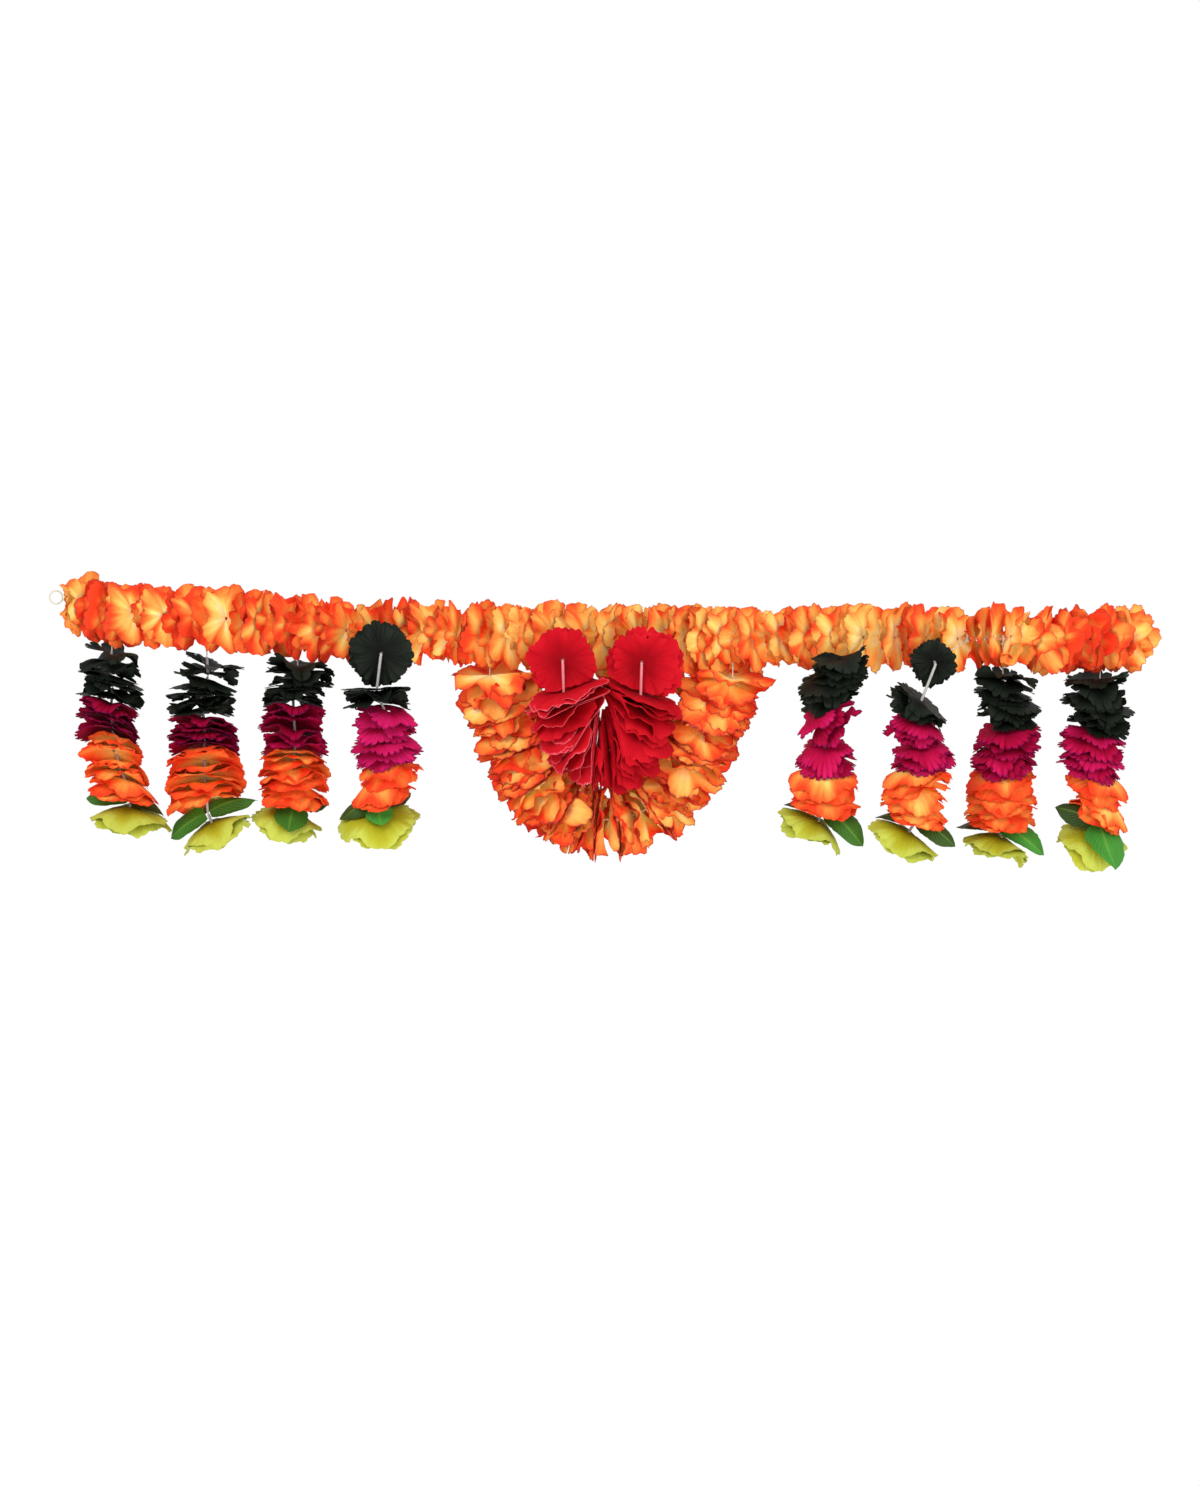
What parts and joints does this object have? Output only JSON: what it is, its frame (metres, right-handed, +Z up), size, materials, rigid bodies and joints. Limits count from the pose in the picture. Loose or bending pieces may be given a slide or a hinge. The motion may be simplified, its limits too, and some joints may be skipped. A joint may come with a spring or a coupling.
{
  "type": "door garland",
  "caption": "Door garland of ruffled cloth flower discs on strings: a level line held by end loops, short hanging strands in bands of colour, and nested swags at the centre.",
  "frame": {"origin": "midway between the centres of the loops at the garland's two ends", "axes": "+X to the right along the line as seen from the front, +Y away from the viewer, +Z up"},
  "size_m": [1.0232, 0.1208, 0.2776],
  "materials": {
    "line": "thin dyed cloth, matt with a slight sheen",
    "outer": "thin dyed cloth, matt with a slight sheen",
    "inner": "thin dyed cloth, matt with a slight sheen",
    "dark": "thin dyed cloth, matt with a slight sheen",
    "magenta": "thin dyed cloth, matt with a slight sheen",
    "orange": "thin dyed cloth, matt with a slight sheen",
    "leaves": "thin dyed cloth, matt with a slight sheen",
    "lime": "thin dyed cloth, matt with a slight sheen",
    "thread": "twisted cotton string"
  },
  "bodies": {
    "root": {"line_flowers_1": "line", "line_flowers_2": "line", "line_flowers_3": "line", "line_flowers_4": "line", "line_flowers_5": "line", "line_thread": "thread", "outer_swag_1": "outer", "outer_swag_2": "outer", "outer_swag_3": "outer", "outer_swag_thread": "thread", "inner_swag": "inner", "inner_swag_thread": "thread", "strand_1_dark": "dark", "strand_1_magenta": "magenta", "strand_1_orange": "orange", "strand_1_leaves": "leaves", "strand_1_lime": "lime", "strand_1_thread": "thread", "strand_2_dark": "dark", "strand_2_magenta": "magenta", "strand_2_orange": "orange", "strand_2_leaves": "leaves", "strand_2_lime": "lime", "strand_2_thread": "thread", "strand_3_dark": "dark", "strand_3_magenta": "magenta", "strand_3_orange": "orange", "strand_3_leaves": "leaves", "strand_3_lime": "lime", "strand_3_thread": "thread", "strand_4_dark": "dark", "strand_4_magenta": "magenta", "strand_4_orange": "orange", "strand_4_leaves": "leaves", "strand_4_lime": "lime", "strand_4_thread": "thread", "strand_5_dark": "dark", "strand_5_magenta": "magenta", "strand_5_orange": "orange", "strand_5_leaves": "leaves", "strand_5_lime": "lime", "strand_5_thread": "thread", "strand_6_dark": "dark", "strand_6_magenta": "magenta", "strand_6_orange": "orange", "strand_6_leaves": "leaves", "strand_6_lime": "lime", "strand_6_thread": "thread", "strand_7_dark": "dark", "strand_7_magenta": "magenta", "strand_7_orange": "orange", "strand_7_leaves": "leaves", "strand_7_lime": "lime", "strand_7_thread": "thread", "strand_8_dark": "dark", "strand_8_magenta": "magenta", "strand_8_orange": "orange", "strand_8_leaves": "leaves", "strand_8_lime": "lime", "strand_8_thread": "thread"}
  },
  "joints": []
}
